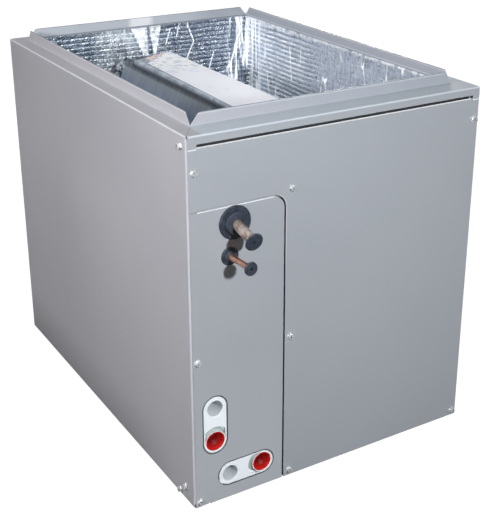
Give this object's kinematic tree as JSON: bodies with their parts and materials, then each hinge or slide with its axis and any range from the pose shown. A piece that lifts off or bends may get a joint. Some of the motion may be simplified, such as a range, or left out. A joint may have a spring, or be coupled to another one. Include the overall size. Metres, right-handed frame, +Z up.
{
  "type": "cased evaporator coil",
  "caption": "Folded steel cabinet, open above and below, with an A-shaped finned coil over a moulded drain pan, and refrigerant pipes and drain ports in its front.",
  "frame": {"origin": "centre of the cabinet's base, on the plane that it stands on", "axes": "+Z up with the airflow, -Y towards the front with the pipes, +X to the right seen from the front"},
  "size_m": [0.5434, 0.7922, 0.629],
  "materials": {
    "cabinet_paint": "satin grey paint",
    "galvanised": "bare zinc-coated sheet",
    "foil_facing": "foil facing with a fine reinforcing scrim",
    "fin_aluminium": "thin bright fins",
    "copper": "drawn copper tube",
    "brass": "machined brass",
    "pan_plastic": "white moulded plastic",
    "plug_red": "red moulded plastic",
    "black_rubber": "soft black rubber",
    "screw_zinc": "zinc-plated"
  },
  "bodies": {
    "root": {"left_side_panel": "cabinet_paint", "right_side_panel": "cabinet_paint", "back_panel": "cabinet_paint", "front_top_rail": "cabinet_paint", "front_bottom_rail": "cabinet_paint", "access_door": "cabinet_paint", "piping_panel": "cabinet_paint", "left_pan_rail": "galvanised", "right_pan_rail": "galvanised", "apex_plate": "galvanised", "front_delta_plate": "galvanised", "rear_delta_plate": "galvanised", "left_front_tube_sheet": "galvanised", "right_front_tube_sheet": "galvanised", "left_rear_tube_sheet": "galvanised", "right_rear_tube_sheet": "galvanised", "left_liner": "foil_facing", "right_liner": "foil_facing", "back_liner": "foil_facing", "door_liner": "foil_facing", "piping_panel_liner": "foil_facing", "left_fin_pack": "fin_aluminium", "right_fin_pack": "fin_aluminium", "left_circuits": "copper", "right_circuits": "copper", "left_suction_header": "copper", "right_suction_header": "copper", "suction_line": "copper", "liquid_line": "copper", "feeder_tubes": "copper", "metering_body": "brass", "distributor": "brass", "main_drain_pan": "pan_plastic", "left_drain_trough": "pan_plastic", "right_drain_trough": "pan_plastic", "rear_drain_trough": "pan_plastic", "front_drain_trough": "pan_plastic", "side_drain_pan": "pan_plastic", "main_drain_plug": "plug_red", "side_drain_plug": "plug_red", "suction_grommet": "black_rubber", "liquid_grommet": "black_rubber", "suction_plug": "black_rubber", "liquid_plug": "black_rubber", "front_screws": "screw_zinc", "side_screws": "screw_zinc", "back_screws": "screw_zinc"}
  },
  "joints": []
}
